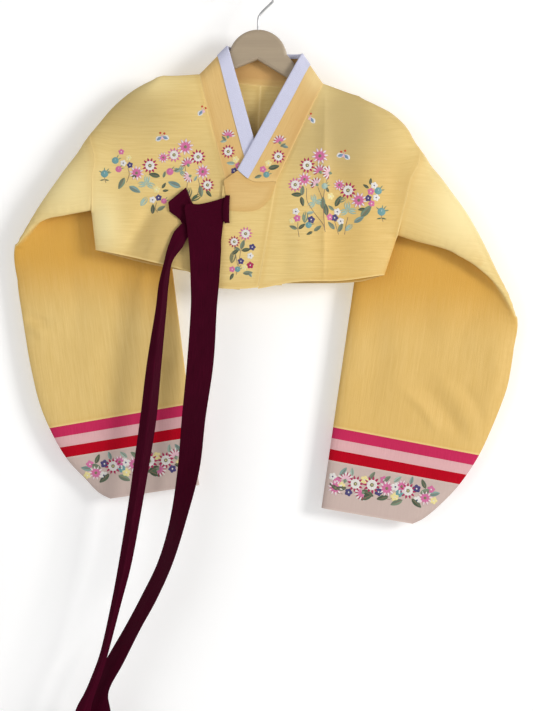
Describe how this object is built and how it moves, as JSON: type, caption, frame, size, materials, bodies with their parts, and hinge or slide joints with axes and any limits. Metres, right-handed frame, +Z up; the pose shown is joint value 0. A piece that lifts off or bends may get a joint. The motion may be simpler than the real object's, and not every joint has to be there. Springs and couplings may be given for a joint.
{
  "type": "women's jeogori (hanbok jacket) on a wooden hanger",
  "caption": "Short wide-sleeved hanbok jacket with a crossed collar and long ribbons, hung on a wooden hanger with its sleeves folded back.",
  "frame": {"origin": "inner top of the hook, where a rail carries it", "axes": "+Z up, -Y is the front, +X towards the wearer's left sleeve"},
  "size_m": [0.764, 0.0781, 1.1888],
  "materials": {
    "yellow_cloth": "fine slubbed weave, soft sheen",
    "collar_cloth": "fine slubbed weave, soft sheen",
    "white_strip": "stiff, smooth",
    "magenta_cloth": "plain weave",
    "pink_cloth": "plain weave",
    "red_cloth": "plain weave",
    "cuff_cloth": "plain weave",
    "burgundy_satin": "satin",
    "wood": "smooth, clear coat",
    "steel": "smooth wire"
  },
  "bodies": {
    "root": {"body_right": "yellow_cloth", "body_left": "yellow_cloth", "seop_inner": "yellow_cloth", "seop_outer": "yellow_cloth", "git": "collar_cloth", "git_head": "collar_cloth", "dongjeong": "white_strip", "sleeve_right": "yellow_cloth", "sleeve_left": "yellow_cloth", "stripe_magenta_right": "magenta_cloth", "stripe_magenta_left": "magenta_cloth", "stripe_pink_right": "pink_cloth", "stripe_pink_left": "pink_cloth", "stripe_red_right": "red_cloth", "stripe_red_left": "red_cloth", "cuff_band_right": "cuff_cloth", "cuff_band_left": "cuff_cloth", "goreum_long": "burgundy_satin", "goreum_short": "burgundy_satin", "hanger_wood": "wood", "hanger_hook": "steel"}
  },
  "joints": []
}
